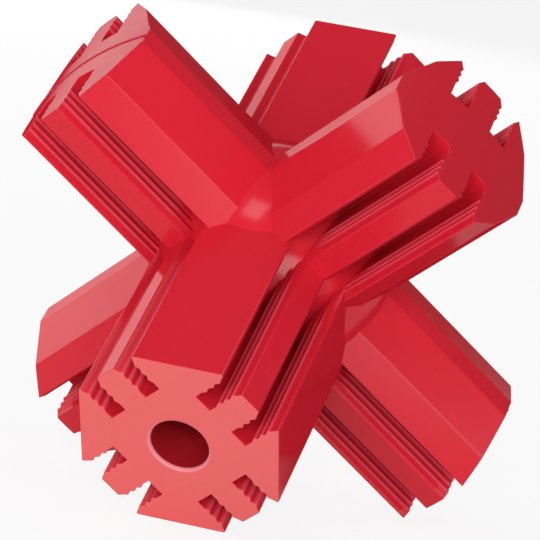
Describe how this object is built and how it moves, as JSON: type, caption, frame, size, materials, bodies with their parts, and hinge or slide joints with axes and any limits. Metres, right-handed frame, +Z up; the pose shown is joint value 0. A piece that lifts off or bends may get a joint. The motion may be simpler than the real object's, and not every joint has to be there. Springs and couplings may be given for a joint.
{
  "type": "chew toy",
  "caption": "Jack-shaped rubber chew toy with ridged slots along its arms, a ball-shaped hub, and a blind bore in the flat end of the front arm.",
  "frame": {"origin": "on the floor, straight below the middle of the hub, which is also the middle of the toy's box", "axes": "+Z up, with the toy standing on its three lower arms; the bored arm points forwards (-Y) and down; +X to the right seen from the front"},
  "size_m": [0.0948, 0.1132, 0.0897],
  "materials": {
    "red_rubber": "satin moulded rubber"
  },
  "bodies": {
    "root": {"hub": "red_rubber", "bored_arm": "red_rubber", "back_arm": "red_rubber", "upper_left_arm": "red_rubber", "upper_right_arm": "red_rubber", "lower_right_arm": "red_rubber", "lower_left_arm": "red_rubber"}
  },
  "joints": []
}
